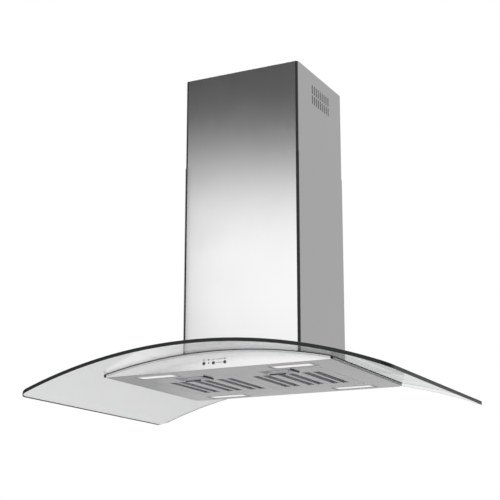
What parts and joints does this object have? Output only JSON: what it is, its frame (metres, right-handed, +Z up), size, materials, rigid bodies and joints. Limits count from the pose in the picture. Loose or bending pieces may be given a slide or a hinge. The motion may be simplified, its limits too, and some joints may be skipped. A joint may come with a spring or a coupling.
{
  "type": "range hood",
  "caption": "Ceiling-hung range hood with an arched glass canopy, slim steel body with slotted grease filters and lamps, and a telescoping square chimney.",
  "frame": {"origin": "centre of the ceiling bolt pattern on the ceiling face, on the axis of the chimney and duct", "axes": "+Z up into the ceiling, +X to the right of someone facing the controls, so the front with the controls is -Y"},
  "size_m": [0.9, 0.64, 0.7948],
  "materials": {
    "brushed_stainless": "fine brushed, satin",
    "filter_steel": "fine brushed, pressed",
    "galvanised_steel": "hot-dip galvanised sheet",
    "zinc_screws": "bright zinc plate",
    "lamp_silver": "satin silver lacquer",
    "lamp_lens": "opal diffuser",
    "black_rubber": "matt",
    "clear_glass": "toughened, ground edge",
    "circuit_board": "solder mask",
    "indicator": "clear light guide",
    "chrome_button": "satin chrome plate",
    "black_plastic": "moulded",
    "grey_plastic": "moulded",
    "cast_aluminium": "die cast",
    "ground_steel": "ground"
  },
  "bodies": {
    "ceiling_mount": {"ceiling_plate": "galvanised_steel", "cable_grommet": "black_rubber", "upper_chimney": "brushed_stainless", "upright_screws": "zinc_screws", "upper_upright_front_left": "galvanised_steel", "upper_upright_front_right": "galvanised_steel", "upper_upright_rear_left": "galvanised_steel", "upper_upright_rear_right": "galvanised_steel"},
    "canopy": {"blower_box": "galvanised_steel", "blower_screws": "zinc_screws", "blower_scroll": "grey_plastic", "cable_gland": "black_plastic", "canopy_deck": "brushed_stainless", "canopy_pan": "brushed_stainless", "clamp_frame": "galvanised_steel", "clamp_gasket": "black_rubber", "control_board": "circuit_board", "cover_brackets": "galvanised_steel", "duct_collar": "black_plastic", "foot_screws": "zinc_screws", "front_fascia": "brushed_stainless", "glass_bolts": "zinc_screws", "glass_canopy": "clear_glass", "glass_gasket": "black_rubber", "height_bolts": "zinc_screws", "lamp_front_left_housing": "lamp_silver", "lamp_front_left_lens": "lamp_lens", "lamp_front_right_housing": "lamp_silver", "lamp_front_right_lens": "lamp_lens", "lamp_rear_left_housing": "lamp_silver", "lamp_rear_left_lens": "lamp_lens", "lamp_rear_right_housing": "lamp_silver", "lamp_rear_right_lens": "lamp_lens", "led_boards": "circuit_board", "lower_chimney": "brushed_stainless", "lower_upright_front_left": "galvanised_steel", "lower_upright_front_right": "galvanised_steel", "lower_upright_rear_left": "galvanised_steel", "lower_upright_rear_right": "galvanised_steel", "motor": "cast_aluminium", "motor_bracket": "galvanised_steel", "power_box": "grey_plastic", "status_lights": "indicator"},
    "filter_left": {"filter_left": "filter_steel", "baffles_left": "filter_steel"},
    "filter_right": {"filter_right": "filter_steel", "baffles_right": "filter_steel"},
    "latch_left": {"latch_left": "black_plastic"},
    "latch_right": {"latch_right": "black_plastic"},
    "button_left": {"button_left": "chrome_button"},
    "button_middle": {"button_middle": "chrome_button"},
    "button_right": {"button_right": "chrome_button"},
    "fan": {"impeller": "grey_plastic", "motor_shaft": "ground_steel"},
    "flap_front": {"duct_flap_front": "black_plastic"},
    "flap_rear": {"duct_flap_rear": "black_plastic"}
  },
  "joints": [
    {"name": "height_adjust", "type": "slide", "parent": "ceiling_mount", "child": "canopy", "axis": [0, 0, 1], "range_m": [-0.15, 0.2]},
    {"name": "filter_left_drop", "type": "hinge", "parent": "canopy", "child": "filter_left", "pos_m": [-0.109, 0.0845, -0.75], "axis": [1, 0, 0], "range_deg": [0, 70]},
    {"name": "filter_right_drop", "type": "hinge", "parent": "canopy", "child": "filter_right", "pos_m": [0.109, 0.0845, -0.75], "axis": [1, 0, 0], "range_deg": [0, 70]},
    {"name": "latch_left_slide", "type": "slide", "parent": "filter_left", "child": "latch_left", "axis": [0, 1, 0], "range_m": [-0.006, 0]},
    {"name": "latch_right_slide", "type": "slide", "parent": "filter_right", "child": "latch_right", "axis": [0, 1, 0], "range_m": [-0.006, 0]},
    {"name": "button_left_press", "type": "slide", "parent": "canopy", "child": "button_left", "axis": [0, 1, 0], "range_m": [0, 0.0012], "stiffness_N_per_m": 400, "springref_m": -0.0005},
    {"name": "button_middle_press", "type": "slide", "parent": "canopy", "child": "button_middle", "axis": [0, 1, 0], "range_m": [0, 0.0012], "stiffness_N_per_m": 400, "springref_m": -0.0005},
    {"name": "button_right_press", "type": "slide", "parent": "canopy", "child": "button_right", "axis": [0, 1, 0], "range_m": [0, 0.0012], "stiffness_N_per_m": 400, "springref_m": -0.0005},
    {"name": "fan_spin", "type": "hinge", "parent": "canopy", "child": "fan", "pos_m": [0, -0.03, -0.57521], "axis": [1, 0, 0], "continuous": true},
    {"name": "flap_front_swing", "type": "hinge", "parent": "canopy", "child": "flap_front", "pos_m": [0, -0.004, -0.46141], "axis": [-1, 0, 0], "range_deg": [0, 80]},
    {"name": "flap_rear_swing", "type": "hinge", "parent": "canopy", "child": "flap_rear", "pos_m": [0, 0.004, -0.46141], "axis": [1, 0, 0], "range_deg": [0, 80]}
  ]
}
